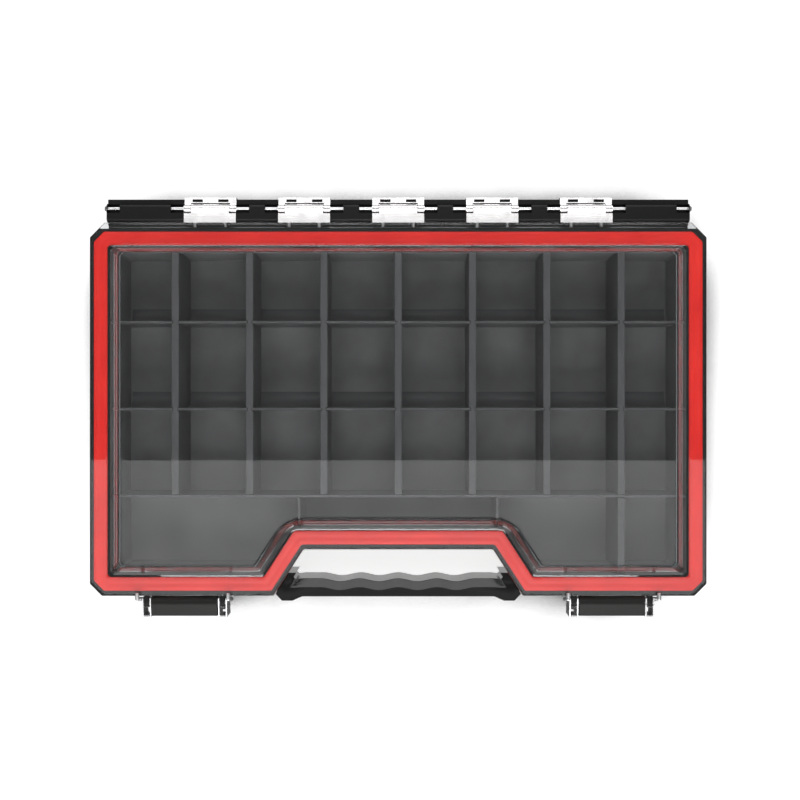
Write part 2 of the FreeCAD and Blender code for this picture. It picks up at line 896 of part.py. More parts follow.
def handle_tongue():
    """The end of the handle that reaches in under the rim to the notch wall and its key."""
    inset = gasket_front_margin + inner_extra - tray_wall - seat_gap
    y0 = front_edge + rim_lip
    y1 = front_edge + boss_rear
    low = grip_bottom + grip_chamfer
    high = rim_under - seat_gap
    front = [(flank_x(y, -boss_outer_chamfer), y) for y in (y0, y1)]
    top = [(flank_x(y, inset), y) for y in (y1, y0)]
    tongue = prism(front + top, low, high)
    return tongue.cut(handle_key_shape(handle_key_clearance))


# ---- assembly ----
def nodes():
    """Every piece of the case by name."""
    shapes = {"base_tray": base_tray(), "gasket": gasket(), "lid": lid(), "handle": handle()}
    centres = divider_centres()
    for i, x in enumerate(centres):
        shapes[f"long_divider_{i + 1}"] = long_divider(x, i == long_dividers - 1)
    for row, y in enumerate(slot_ys()):
        for cell in range(long_dividers + 1):
            shapes[f"cross_divider_{row + 1}_{cell + 1}"] = cross_divider(cell, y)
    shapes["front_row_wall"] = front_wall()
    shapes["front_divider_left"] = front_divider(-1)
    shapes["front_divider_right"] = front_divider(1)
    shapes["hinge_rod"] = hinge_rod()
    for i, x in enumerate(clip_centres()):
        shapes[f"hinge_lid_leaf_{i + 1}"] = lid_leaf(x)
        shapes[f"hinge_base_leaf_{i + 1}"] = base_leaf(x)
    lid_face = rear_edge + leaf_thickness
    rail_face = rail_rear + leaf_thickness
    shapes["hinge_lid_rivets"] = hinge_rivets(rear_edge - hinge_wall, lid_face, lid_rivet_z())
    shapes["hinge_base_rivets"] = hinge_rivets(rail_rear - rail_floor, rail_face, base_rivet_z())
    for name, side in (("left", -1), ("right", 1)):
        centre = side * latch_x
        shapes[f"latch_cover_{name}"] = latch_cover(centre)
        shapes[f"latch_frame_{name}"] = latch_frame(centre)
        shapes[f"latch_bail_{name}"] = latch_bail(centre)
        shapes[f"latch_pin_{name}"] = latch_pin(centre)
    return shapes


os.makedirs("parts", exist_ok=True)
for node, shape in nodes().items():
    shape.exportStep(f"parts/{node}.step")
    state = "valid" if shape.isValid() else "NOT VALID"
    print(node, len(shape.Solids), "solid(s)", state, round(shape.Volume), "mm3")
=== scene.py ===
# %% [markdown]
# A flat tackle case, seen from above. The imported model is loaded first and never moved: it fixes every
# size and place. The cells after it follow the making of a case: first the finishes, then one piece
# after another, and last the floor, the lamps and the camera that show it.
# %% Load the frame
import json
import math

import bmesh
import bpy
import numpy as np
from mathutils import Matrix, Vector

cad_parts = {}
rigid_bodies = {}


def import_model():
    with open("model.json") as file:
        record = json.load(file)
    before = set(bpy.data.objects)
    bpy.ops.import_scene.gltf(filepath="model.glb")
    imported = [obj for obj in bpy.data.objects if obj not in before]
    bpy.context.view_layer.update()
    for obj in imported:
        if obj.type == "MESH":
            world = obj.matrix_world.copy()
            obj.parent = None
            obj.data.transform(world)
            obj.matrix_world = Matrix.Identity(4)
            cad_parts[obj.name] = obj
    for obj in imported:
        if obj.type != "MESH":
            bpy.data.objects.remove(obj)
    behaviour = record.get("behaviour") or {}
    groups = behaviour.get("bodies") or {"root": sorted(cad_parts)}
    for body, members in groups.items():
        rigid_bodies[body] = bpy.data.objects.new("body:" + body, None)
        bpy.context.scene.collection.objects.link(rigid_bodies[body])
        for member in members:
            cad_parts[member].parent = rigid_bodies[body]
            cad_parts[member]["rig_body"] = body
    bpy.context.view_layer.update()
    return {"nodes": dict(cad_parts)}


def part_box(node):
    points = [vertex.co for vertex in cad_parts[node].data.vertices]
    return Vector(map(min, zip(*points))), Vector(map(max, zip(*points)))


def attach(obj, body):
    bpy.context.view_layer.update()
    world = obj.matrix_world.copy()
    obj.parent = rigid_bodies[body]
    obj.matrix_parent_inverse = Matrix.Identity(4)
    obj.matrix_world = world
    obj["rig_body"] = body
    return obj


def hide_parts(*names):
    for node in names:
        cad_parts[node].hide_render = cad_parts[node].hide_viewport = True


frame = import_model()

NODES = frame["nodes"]
MM = 0.001
hair = 0.001 * MM        # points closer than this are in the same place

# %% [markdown]
# A real surface is never one flat colour: moulding, rolling and handling leave grain, flow marks and
# haze. Image textures could show that, but node patterns need no files and stay sharp at any distance.
# So every finish starts as one Principled shader with patterns on Object coordinates, which are metres
# on the real case. A grain written as a length keeps its true scale.
# %% Finishes and their grain


def finish_named(name, colour, roughness, metallic=0.0):
    """A node material: its Principled shader with plain values, and Object coordinates to build on."""
    material = bpy.data.materials.new(name)
    material.use_nodes = True
    tree = material.node_tree
    shader = tree.nodes["Principled BSDF"]
    shader.inputs["Base Color"].default_value = (*colour, 1)
    shader.inputs["Roughness"].default_value = roughness
    shader.inputs["Metallic"].default_value = metallic
    place = tree.nodes.new("ShaderNodeTexCoord").outputs["Object"]
    return material, tree, shader, place


def stretched(tree, place, along):
    """The coordinates times along, axis by axis: a small factor draws a pattern out into lines."""
    node = tree.nodes.new("ShaderNodeMapping")
    node.inputs["Scale"].default_value = along
    tree.links.new(place, node.inputs["Vector"])
    return node.outputs["Vector"]


def grain(tree, place, size, detail=3.0):
    """Noise from 0 to 1 at place divided by size, so its blotches are about size metres across."""
    node = tree.nodes.new("ShaderNodeTexNoise")
    node.inputs["Scale"].default_value = 1 / size
    node.inputs["Detail"].default_value = detail
    tree.links.new(place, node.inputs["Vector"])
    return node.outputs["Fac"]


print("finishes start from", finish_named.__name__, "with", stretched.__name__, "or plain", grain.__name__)

# %% [markdown]
# Noise lies near 0.5 nearly everywhere, so used as it is it hardly shows. Four more helpers turn it into
# something that does: a spread over two values, a tint between two colours, a bump, and plain sums. Each
# is one node with its sockets filled, which keeps the materials below a few lines long.
# %% From grain to colour, gloss and relief


def ranged(tree, value, low, high, start=0.3, stop=0.7):
    """A value between start and stop spread over low to high, and held there outside them.

    The result is low + (high - low) * (value - start) / (stop - start)."""
    node = tree.nodes.new("ShaderNodeMapRange")
    node.inputs["From Min"].default_value = start
    node.inputs["From Max"].default_value = stop
    node.inputs["To Min"].default_value = low
    node.inputs["To Max"].default_value = high
    tree.links.new(value, node.inputs["Value"])
    return node.outputs["Result"]


def tinted(tree, value, dark, light):
    """A colour between two: dark * (1 - value) + light * value."""
    node = tree.nodes.new("ShaderNodeMix")
    node.data_type = "RGBA"
    node.inputs["A"].default_value = (*dark, 1)
    node.inputs["B"].default_value = (*light, 1)
    tree.links.new(value, node.inputs["Factor"])
    return node.outputs["Result"]


def bumped(tree, shader, height, depth, strength=1.0):
    """Tilts the shader's normal as if the surface stood out by height times depth metres."""
    node = tree.nodes.new("ShaderNodeBump")
    node.inputs["Strength"].default_value = strength
    node.inputs["Distance"].default_value = depth
    tree.links.new(height, node.inputs["Height"])
    tree.links.new(node.outputs["Normal"], shader.inputs["Normal"])


def arithmetic(tree, operation, first, second):
    """The result of one operation on two values, each a link or a plain number."""
    node = tree.nodes.new("ShaderNodeMath")
    node.operation = operation
    for socket, value in zip(node.inputs, (first, second)):
        if isinstance(value, (int, float)):
            socket.default_value = value
        else:
            tree.links.new(value, socket)
    return node.outputs["Value"]


print("grain is shaped by", [f.__name__ for f in (ranged, tinted, bumped, arithmetic)])

# %% [markdown]
# The tray and the dividers are moulded in a spark-etched tool, so they carry a very fine matt grain and
# faint flow marks. A fine noise gives the grain as bump and gloss, and a broad one shifts the colour a
# little. Inside the tray, below the rim and in front of the hinge shelf, the colour is painted many times
# lighter. This painted light makes the compartments read charcoal beside the rim and hinge shelf. A
# second material would need its own faces; a test on place does it in one.
# %% Moulded plastics


def moulded_plastic(name, dark, light, gloss, level=0.5):
    """Etched plastic: a broad noise tints from dark to light, and a fine one sets bump and roughness.

    The roughness goes from gloss - 0.06 to gloss + 0.08 with the fine noise."""
    flow_size, etch_size, etch_relief = 30 * MM, 0.35 * MM, 0.008 * MM
    material, tree, shader, place = finish_named(name, light, gloss)
    flow = ranged(tree, grain(tree, place, flow_size), 0.0, 1.0)
    tree.links.new(tinted(tree, flow, dark, light), shader.inputs["Base Color"])
    fine = grain(tree, place, etch_size, 2.0)
    tree.links.new(ranged(tree, fine, gloss - 0.06, gloss + 0.08), shader.inputs["Roughness"])
    bumped(tree, shader, fine, etch_relief)
    shader.inputs["Specular IOR Level"].default_value = level
    return material


def painted_inside_light(material, rim_height, shelf_start, lift):
    """Painted light: lightens a plastic below the rim and in front of the hinge shelf.

    The colour is multiplied by lift where z is under rim_height and y is under shelf_start."""
    tree = material.node_tree
    shader = tree.nodes["Principled BSDF"]
    place = tree.nodes.new("ShaderNodeSeparateXYZ")
    tree.links.new(tree.nodes["Texture Coordinate"].outputs["Object"], place.inputs["Vector"])
    low = arithmetic(tree, "LESS_THAN", place.outputs["Z"], rim_height)
    ahead = arithmetic(tree, "LESS_THAN", place.outputs["Y"], shelf_start)
    # painted light: inside the tray the colour is multiplied by lift, in place of light falling into it
    gain = ranged(tree, arithmetic(tree, "MULTIPLY", low, ahead), 1.0, lift, 0.0, 1.0)
    colour = shader.inputs["Base Color"].links[0].from_socket
    lighter = tree.nodes.new("ShaderNodeVectorMath")
    lighter.operation = "SCALE"
    tree.links.new(colour, lighter.inputs["Vector"])
    tree.links.new(gain, lighter.inputs["Scale"])
    tree.links.new(lighter.outputs["Vector"], shader.inputs["Base Color"])
    return material


inside_light_height, inside_light_end, inside_light_lift = 43.5 * MM, 100 * MM, 36.0
etched_gloss, grip_gloss = 0.42, 0.22
tray_plastic = moulded_plastic(
    "tray charcoal", (0.0036, 0.0036, 0.0035), (0.0052, 0.0052, 0.0051), etched_gloss, level=0.25
)
# painted light: the tray's colour is lifted 36 times below the rim and ahead of the hinge shelf
painted_inside_light(tray_plastic, inside_light_height, inside_light_end, inside_light_lift)
divider_plastic = moulded_plastic("divider grey", (0.050, 0.051, 0.051), (0.062, 0.063, 0.063), etched_gloss)
grip_plastic = moulded_plastic(
    "grip black", (0.003, 0.003, 0.003), (0.005, 0.005, 0.005), grip_gloss, level=0.33
)
lever_plastic = moulded_plastic(
    "lever black", (0.007, 0.007, 0.006), (0.010, 0.010, 0.009), etched_gloss, level=0.27
)
print("plastics:", [m.name for m in (tray_plastic, divider_plastic, grip_plastic, lever_plastic)])

# %% [markdown]
# The hinge leaves are polished sheet and the wire is drawn. Drawing leaves hair-fine lines along the
# wire, and polishing leaves faint ones along the sheet. The shader's own anisotropy could stretch the
# shine, but it needs a tangent on every piece. Noise stretched along X makes real lines on both.
# %% Steels


def drawn_steel(name, colour, gloss, along):
    """Bare steel: a noise drawn out along one axis gives fine lines, a broad one smears of gloss.

    The roughness goes from 0.7 to 1.5 times gloss with the broad noise."""
    line_size, line_relief, smear_size = 0.5 * MM, 0.004 * MM, 6 * MM
    material, tree, shader, place = finish_named(name, colour, gloss, metallic=1.0)
    lines = grain(tree, stretched(tree, place, along), line_size, 2.0)
    smears = grain(tree, place, smear_size)
    tree.links.new(ranged(tree, smears, gloss * 0.7, gloss * 1.5), shader.inputs["Roughness"])
    bumped(tree, shader, lines, line_relief)
    return material


along_x = (0.05, 1, 1)
leaf_steel = drawn_steel("polished leaf steel", (0.80, 0.79, 0.79), 0.14, along_x)
wire_steel = drawn_steel("drawn wire steel", (0.74, 0.74, 0.75), 0.3, along_x)
print("steels:", leaf_steel.name, "and", wire_steel.name)

# %% [markdown]
# The seal is soft red silicone: saturated, a little glossy, with a bloom of fine dust. The lid is a
# smoke-clear styrene, so it bends and mirrors light like glass. Lamps must pass it, or the tray would
# be black: rays from lamps meet a plain tinted Transparent shader in place of the glass. The slopes and
# crown of the lid carry painted shade. The mesh carries a shade on its points and the tint reads it,
# going dark and a little cyan. This draws a dark line at the crown and cancels the red of the seal
# seen through the slopes. Steeper smoked plastic does look a little darker, since light travels further
# in it, but real absorption needs a volume, which is slow and noisy.
# %% Seal and lid


def seal_rubber():
    """Red silicone: a broad noise tints it from clean to dusty red, and a fine one sets bump and gloss."""
    clean_red, dusty_red = (0.76, 0.014, 0.010), (0.88, 0.028, 0.019)
    dust_size, dust_relief, bloom_size = 1.2 * MM, 0.02 * MM, 25 * MM
    material, tree, shader, place = finish_named("red silicone", (0.80, 0.018, 0.012), 0.4)
    dust = grain(tree, place, dust_size)
    bloom = ranged(tree, grain(tree, place, bloom_size), 0.0, 1.0)
    tree.links.new(tinted(tree, bloom, clean_red, dusty_red), shader.inputs["Base Color"])
    tree.links.new(ranged(tree, dust, 0.33, 0.5), shader.inputs["Roughness"])
    bumped(tree, shader, dust, dust_relief)
    shader.inputs["Specular IOR Level"].default_value = 0.2
    return material


def clear_plastic():
    """Smoke-clear plastic: glass to the eye, a plain tint to rays from lamps.

    The glass goes from clear_tint to the painted shade of painted_edge_tint as the point attribute
    edge_shade goes from 0 to 1."""
    # painted shade: the glass tint turns dark and a little cyan where edge_shade is high, on the slopes and
    # crown
    clear_tint, painted_edge_tint, lamp_tint = (0.86, 0.87, 0.88), (0.075, 0.13, 0.14), (0.90, 0.905, 0.91)
    haze_size, haze_relief = 40 * MM, 0.002 * MM
    material, tree, shader, place = finish_named("smoke clear", clear_tint, 0.02)
    shader.inputs["Transmission Weight"].default_value = 1.0
    shader.inputs["IOR"].default_value = 1.49
    edge = tree.nodes.new("ShaderNodeAttribute")
    edge.attribute_name = "edge_shade"
    tree.links.new(tinted(tree, edge.outputs["Fac"], clear_tint, painted_edge_tint), shader.inputs["Base Color"])
    haze = grain(tree, place, haze_size)
    tree.links.new(ranged(tree, haze, 0.006, 0.02), shader.inputs["Roughness"])
    bumped(tree, shader, haze, haze_relief, 0.3)
    through = tree.nodes.new("ShaderNodeBsdfTransparent")
    through.inputs["Color"].default_value = (*lamp_tint, 1)
    light_path = tree.nodes.new("ShaderNodeLightPath")
    mix = tree.nodes.new("ShaderNodeMixShader")
    tree.links.new(light_path.outputs["Is Shadow Ray"], mix.inputs["Fac"])
    tree.links.new(shader.outputs["BSDF"], mix.inputs[1])
    tree.links.new(through.outputs["BSDF"], mix.inputs[2])
    tree.links.new(mix.outputs["Shader"], tree.nodes["Material Output"].inputs["Surface"])
    return material


red_silicone = seal_rubber()
smoke_clear = clear_plastic()
print("seal and lid:", red_silicone.name, "and", smoke_clear.name)

# %% [markdown]
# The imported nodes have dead-sharp edges. A moulding never does: its edges have a small radius, and a
# bright thread of light along each edge is what makes a piece look real. The radius could be cut into
# each solid, at a great cost in faces. A Bevel modifier on a merged copy of the node does the same for
# the eye, and the copy stands in for the node. Merging comes first, since loose triangles have no edges
# in common to round.
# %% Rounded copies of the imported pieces
crease, flat = math.radians(28), math.radians(1)


def rounded(name, radius, material):
    """A copy of a node with merged corners, flat faces joined up and its edges rounded.

    Faces that turn by less than flat become one. Every edge that turns by more than crease is cut back
    by radius and bridged by two steps."""
    source = NODES[name]
    mesh = source.data.copy()
    shape = bmesh.new()
    shape.from_mesh(mesh)
    bmesh.ops.remove_doubles(shape, verts=shape.verts, dist=hair)
    bmesh.ops.dissolve_limit(
        shape, angle_limit=flat, verts=shape.verts, edges=shape.edges, use_dissolve_boundaries=False
    )
    shape.to_mesh(mesh)
    shape.free()
    for layer in ("custom_normal", "sharp_face", "sharp_edge"):
        if layer in mesh.attributes:
            mesh.attributes.remove(mesh.attributes[layer])
    mesh.materials.clear()
    mesh.materials.append(material)
    piece = bpy.data.objects.new(name + "_finished", mesh)
    bpy.context.scene.collection.objects.link(piece)
    mesh.polygons.foreach_set("use_smooth", np.ones(len(mesh.polygons), bool))
    mesh.set_sharp_from_angle(angle=crease)
    if radius:
        bevel = piece.modifiers.new("edge radius", "BEVEL")
        bevel.width = radius
        bevel.segments = 2
        bevel.limit_method = "ANGLE"
        bevel.angle_limit = crease
        bevel.harden_normals = True
    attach(piece, source["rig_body"])
    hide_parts(name)
    return piece


print("edges that turn by more than", round(math.degrees(crease)), "degrees will be rounded")

# %% [markdown]
# The lid and the seal follow one outline: a rectangle with cut corners and a trapezoid notch. They could
# be cut from blocks with booleans, but bends would then be ragged. Rings keep every bend smooth. A ring
# is that outline moved in by an inset and lifted to a height, with every corner rounded by a curve of the
# same number of points, so that neighbouring rings join up as a grid of quads.
# %% Outline rings
case_low, case_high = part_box("lid")
lid_half = case_high.x
lid_rear, lid_front = case_high.y, case_low.y
notch_top_half, notch_mouth_half, notch_deep = 56.5 * MM, 74.5 * MM, 27.7 * MM
rear_cut, front_cut, seal_cut, inner_cut = 8.8 * MM, 7.2 * MM, 6.0 * MM, 1.2 * MM
arc_points = 9


def corner_points(side, rear, front, rear_corner, front_corner):
    """The twelve corners of the outline, each edge moved in square to itself by its own inset.

    Along the front, the notch's slanted side moves out by front * (sqrt(1 + slope^2) - slope)."""
    slope = (notch_mouth_half - notch_top_half) / notch_deep
    square = front * math.hypot(1, slope) - slope * front
    x, y_rear, y_front = lid_half - side, lid_rear - rear, lid_front + front
    right = np.array([
        (notch_top_half + square, y_front + notch_deep),
        (notch_mouth_half + square, y_front),
        (x - front_corner, y_front),
        (x, y_front + front_corner),
        (x, y_rear - rear_corner),
        (x - rear_corner, y_rear),
    ])
    return np.vstack([right, right[::-1] * (-1, 1)])


def rounded_outline(corners, radii):
    """Each corner replaced by a curve between two points a tangent length away along its edges.

    The curve is (1-t)^2 A + 2t(1-t) C + t^2 B, where C is the corner. The tangent length is at most
    0.45 of the shorter edge, so that curves never meet."""
    before = np.roll(corners, 1, axis=0) - corners
    after = np.roll(corners, -1, axis=0) - corners
    reach_before = np.linalg.norm(before, axis=1)
    reach_after = np.linalg.norm(after, axis=1)
    length = np.minimum(radii, 0.45 * np.minimum(reach_before, reach_after))[:, None]
    start = corners + before / reach_before[:, None] * length
    stop = corners + after / reach_after[:, None] * length
    t = np.linspace(0, 1, arc_points)[None, :, None]
    curve = (1 - t) ** 2 * start[:, None] + 2 * t * (1 - t) * corners[:, None] + t**2 * stop[:, None]
    return curve.reshape(-1, 2)


def ring(insets, cuts, height, round_at=0.5 * MM, notch_round=0.8 * MM):
    """One ring of points (x, y, z): the rounded outline at a height.

    The first and last corners are the notch's inner ones and have a radius of their own."""
    radii = np.full(12, round_at)
    radii[[0, 11]] = notch_round
    plan = rounded_outline(corner_points(*insets, *cuts), radii)
    return np.column_stack([plan, np.full(len(plan), height)])


print("rings have", len(ring((0.0,) * 3, (rear_cut, front_cut), 0.0)), "points")

# %% [markdown]
# A stack of rings is a grid: one way round the outline, the other way along the section. Its quads follow
# from the grid's numbers alone, with no loop over points. The lid's section is open and ends in two flat
# caps, and the seal's runs back into itself. Each skin is a new piece, which rides on the body of the node
# that it stands in for.
# %% Skins from rings
fold = math.radians(30)


def joined(name, rings, closed, material, body, replaced, shades=()):
    """A mesh from rings of equal length: quads between neighbours, and either caps at both ends or,
    if closed, quads from the last ring back to the first. Shades, one per ring, are kept on its points.

    Point j of ring i has the number i * around + j, and a quad joins j and j + 1 on two rings."""
    rings = np.array(rings)
    count, around = rings.shape[:2]
    pairs = count if closed else count - 1
    i = np.arange(pairs)[:, None]
    j = np.arange(around)[None, :]
    here, up = i * around, (i + 1) % count * around
    right = (j + 1) % around
    quads = np.stack([here + j, here + right, up + right, up + j], axis=-1).reshape(-1, 4)
    faces = quads.tolist()
    if not closed:
        faces.append(list(range(around))[::-1])
        faces.append(list(range((count - 1) * around, count * around)))
    mesh = bpy.data.meshes.new(name)
    mesh.from_pydata(rings.reshape(-1, 3).tolist(), [], faces)
    shape = bmesh.new()
    shape.from_mesh(mesh)
    bmesh.ops.recalc_face_normals(shape, faces=shape.faces)
    shape.to_mesh(mesh)
    shape.free()
    mesh.polygons.foreach_set("use_smooth", np.ones(len(mesh.polygons), bool))
    mesh.set_sharp_from_angle(angle=fold)
    if len(shades):
        layer = mesh.attributes.new("edge_shade", "FLOAT", "POINT")
        layer.data.foreach_set("value", np.repeat(np.array(shades, np.float32), around))
    mesh.materials.append(material)
    piece = bpy.data.objects.new(name, mesh)
    bpy.context.scene.collection.objects.link(piece)
    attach(piece, body)
    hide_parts(replaced)
    print(name, len(mesh.vertices), "points")
    return piece


def bend(start, corner, stop, steps=6):
    """Points on the curve (1-t)^2 A + 2t(1-t) C + t^2 B from start to stop, pulled towards a corner."""
    t = np.linspace(0, 1, steps)[:, None]
    start, corner, stop = np.array(start), np.array(corner), np.array(stop)
    return (1 - t) ** 2 * start + 2 * t * (1 - t) * corner + t**2 * stop


print("a bend has", len(bend((0, 0), (1, 0), (1, 1))), "points unless told otherwise")

# %% [markdown]
# The lid is a tray pressed upwards: a flat flange over the seal, a slope and a flat top. Its section is
# written once as shares: across from foot to crown, and up from flange to top. The rear slope is the
# steepest, so each side has its own run. Soft bends at foot and crown gather bright threads of light,
# which is how clear plastic shows its form. Beside each bend lies one more level ring, so that smooth
# shading keeps the flat parts flat: without it they would mirror a lamp's edge in waves. The painted shade
# on each ring is 0 on flat plastic and grows up the slope to 1 at the crown, where it paints a dark line.
# The wall along the hinge hangs from the rear edge only.
# %% Lid
wall_hang, flange_thickness = 3.0 * MM, 3.0 * MM
flange_low = case_low.z + wall_hang
flange_top = flange_low + flange_thickness
lid_top = case_high.z
panel_wall = 2.4 * MM
hollow_inset = 0.4 * MM
hinge_wall = 2.5 * MM
seal_margins = np.array([1.8, 5.1, 2.7]) * MM
seal_width = 8.3 * MM
foot_insets = seal_margins + seal_width
dome_runs = np.array([9.4, 5.0, 7.8]) * MM
flange_edge = 0.7 * MM
notch_round_foot, notch_round_crown = 2.5 * MM, 11.0 * MM
slope_round, crown_cut_growth = 0.8 * MM, 0.8 * MM
# painted shade of the lid's glass: rising from the foot up the slope to a dark line at the crown
foot_shade, slope_shade, crown_shade = 0.6, 0.7, 1.0


def lid_rings():
    """All rings of the lid in order: inner top, inner slope, underside, rim, flange, outer slope, top.

    A ring of the slope has the inset foot + shift + run * across and the height low + (high - low) * up."""
    case_cuts = (rear_cut, front_cut)
    rings = []

    def slope_ring(across, up, low, high, shift):
        cut = inner_cut + crown_cut_growth * across
        soft = notch_round_foot + (notch_round_crown - notch_round_foot) * np.clip(across, 0, 1)
        insets = foot_insets + shift + dome_runs * across
        return ring(insets, (cut, cut), low + (high - low) * up, slope_round, soft)

    crown = np.vstack([(1.15, 1.0), bend((1.012, 1.0), (1.0, 1.0), (0.988, 0.984), 3)])
    foot = np.vstack([bend((0.594, 0.365), (0.36, 0.0), (-0.1, 0.0), 16), (-0.3, 0.0)])
    slope = (0.86, 0.78)
    inner_low, inner_high = flange_low, lid_top - panel_wall
    for across, up in np.vstack([crown, slope, foot]):
        rings.append(slope_ring(across, up, inner_low, inner_high, hollow_inset))
    rings.append(ring((hinge_wall,) * 3, case_cuts, flange_low))
    for inset in (hinge_wall, 0.0):
        low = ring((inset,) * 3, case_cuts, flange_low)
        hangs = low[:, 1] > lid_rear - inset - hair
        low[hangs, 2] = case_low.z
        rings.append(low)
    for inset, drop in bend((0.0, flange_edge), (0.0, 0.0), (flange_edge, 0.0), 5):
        rings.append(ring((inset,) * 3, case_cuts, flange_top - drop))
    rings.append(ring((2 * flange_edge,) * 3, case_cuts, flange_top))
    shades = [0.0] * len(rings)
    for across, up in np.vstack([foot[::-1], slope, crown[::-1]]):
        rings.append(slope_ring(across, up, flange_top, lid_top, 0.0))
    shades += [*np.linspace(0.0, foot_shade, len(foot)), slope_shade]
    shades += [crown_shade] * (len(crown) - 1) + [0.0]
    return rings, shades


lid_points, lid_shades = lid_rings()
joined("lid_clear", lid_points, False, smoke_clear, NODES["lid"]["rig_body"], "lid", lid_shades)

# %% [markdown]
# The seal is a ring of soft rubber with two low ribs, which press into the lid. It could be a section
# swept along a curve, but a sweep pinches at the notch's sharp corners. Rings follow them cleanly. The
# section is closed, so the last ring joins the first.
# %% Seal
seal_low, seal_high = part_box("gasket")[0].z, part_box("gasket")[1].z
seal_round, seal_notch_round = 1.0 * MM, 1.5 * MM


def seal_rings():
    """Rings round the seal's section: up the outer side, over the two ribs, down the inner side.

    The height is top - rib + rib * sin(2 pi across)^2, less a drop that dies away from both edges as
    edge * e^(-30 distance), with distances as shares of the width."""
    across = np.linspace(0, 1, 25)
    rib, edge, sharpness = 0.35 * MM, 0.4 * MM, 30
    lift = -rib + rib * np.sin(2 * np.pi * across) ** 2
    drop = edge * (np.exp(-across * sharpness) + np.exp(-(1 - across) * sharpness))
    section = [(0.0, seal_low)]
    section += list(zip(across, seal_high + lift - drop))
    section += [(1.0, seal_low)]
    rings = []
    for share, height in section:
        insets = seal_margins + seal_width * share
        cut = seal_cut + (inner_cut - seal_cut) * share
        rings.append(ring(insets, (cut, cut), height, seal_round, seal_notch_round))
    return rings


joined("seal_ribbed", seal_rings(), True, red_silicone, NODES["gasket"]["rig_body"], "gasket")

# %% [markdown]
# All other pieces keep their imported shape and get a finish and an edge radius. Each could be dressed by
# its own lines, but pieces of one kind share both, so two tables say it once: single pieces by name, and
# families by the start of their names. The wire bails are round already and get no radius.
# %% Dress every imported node
singles = {
    "base_tray": (0.4 * MM, tray_plastic),
    "handle": (0.7 * MM, grip_plastic),
    "hinge_rod": (0.2 * MM, wire_steel),
    "front_row_wall": (0.25 * MM, divider_plastic),
}
families = {
    "long_divider": (0.4 * MM, divider_plastic),
    "cross_divider": (0.25 * MM, divider_plastic),
    "front_divider": (0.25 * MM, divider_plastic),
    "hinge_lid_leaf": (0.15 * MM, leaf_steel),
    "hinge_base_leaf": (0.15 * MM, leaf_steel),
    "hinge_lid_rivets": (0.1 * MM, wire_steel),
    "hinge_base_rivets": (0.1 * MM, wire_steel),
    "latch_cover": (0.5 * MM, lever_plastic),
    "latch_frame": (0.12 * MM, wire_steel),
    "latch_bail": (0.0, wire_steel),
    "latch_pin": (0.15 * MM, wire_steel),
}
for name in sorted(set(NODES) - {"lid", "gasket"}):
    kind = next((start for start in families if name.startswith(start)), None)
    rounded(name, *(singles.get(name) or families[kind]))
print("dressed", len(NODES), "pieces")

# %% [markdown]
# The case lies on a wide white sweep. A white floor under strong lamps would throw light up at the
# case and clip to white, so it is made another way: a darker matt floor that glows for the eye alone.
# Where the case stands close over it, the glow gives way and leaves a narrow, soft painted shadow.
# %% Floor
shadow_reach = 50 * MM
shadow_lean, lean_limit = (0.16, 0.62, 0.0), 0.1
shadow_open, shadow_glow = (0.6, 0.78), (0.1, 1.0)


def floor_material():
    """A matt floor that reads paper white and darkens only where the case stands close over it.

    Ambient Occlusion gives the openness above each point, from 0 to 1. The dot product of its place and
    shadow_lean is taken from that, up to lean_limit either way, which pushes the shadow to the rear
    right, away from the stronger front lamp. The result is spread from shadow_open to shadow_glow."""
    material, tree, shader, place = finish_named("white sweep", (0.15, 0.15, 0.15), 0.9)
    shader.inputs["Specular IOR Level"].default_value = 0.0
    bumped(tree, shader, grain(tree, place, 2 * MM), 0.01 * MM)
    openness = tree.nodes.new("ShaderNodeAmbientOcclusion")
    openness.inputs["Distance"].default_value = shadow_reach
    openness.samples = 16
    lean = tree.nodes.new("ShaderNodeVectorMath")
    lean.operation = "DOT_PRODUCT"
    lean.inputs[1].default_value = shadow_lean
    tree.links.new(place, lean.inputs[0])
    limits = (-lean_limit, lean_limit)
    shift = ranged(tree, lean.outputs["Value"], *limits, *limits)
    # painted shadow: the floor's glow dims with ambient occlusion under the case, pushed to the rear right
    leaned = arithmetic(tree, "SUBTRACT", openness.outputs["AO"], shift)
    light_path = tree.nodes.new("ShaderNodeLightPath").outputs
    seen = arithmetic(tree, "MAXIMUM", light_path["Is Camera Ray"], light_path["Is Transmission Ray"])
    glow = arithmetic(tree, "MULTIPLY", ranged(tree, leaned, *shadow_glow, *shadow_open), seen)
    shader.inputs["Emission Color"].default_value = (1, 1, 1, 1)
    tree.links.new(glow, shader.inputs["Emission Strength"])
    return material


def flat_sheet(name, low, high, height, material):
    """A level rectangle between two plan corners, attached to no body of the case."""
    mesh = bpy.data.meshes.new(name)
    (x0, y0), (x1, y1) = low, high
    corners = [(x0, y0, height), (x1, y0, height), (x1, y1, height), (x0, y1, height)]
    mesh.from_pydata(corners, [], [(0, 1, 2, 3)])
    mesh.materials.append(material)
    sheet = bpy.data.objects.new(name, mesh)
    bpy.context.scene.collection.objects.link(sheet)
    return sheet


floor_half = 3.0
flat_sheet("floor", (-floor_half,) * 2, (floor_half,) * 2, 0.0, floor_material())
print("floor", 2 * floor_half, "m wide")

# %% [markdown]
# Two white cards lie on the floor, as in a product studio. One under the notch lifts that dark gap and
# lights the inner faces of the grip, which a lamp could do only from below the floor. The other lies in
# front of the case, where steep bright parts mirror it as a light band. Only mirrored rays meet that one,
# so it is never in view itself.
# %% Cards on the floor
notch_card_glow, front_card_glow = 0.76, 1.3
card_height = 0.3 * MM


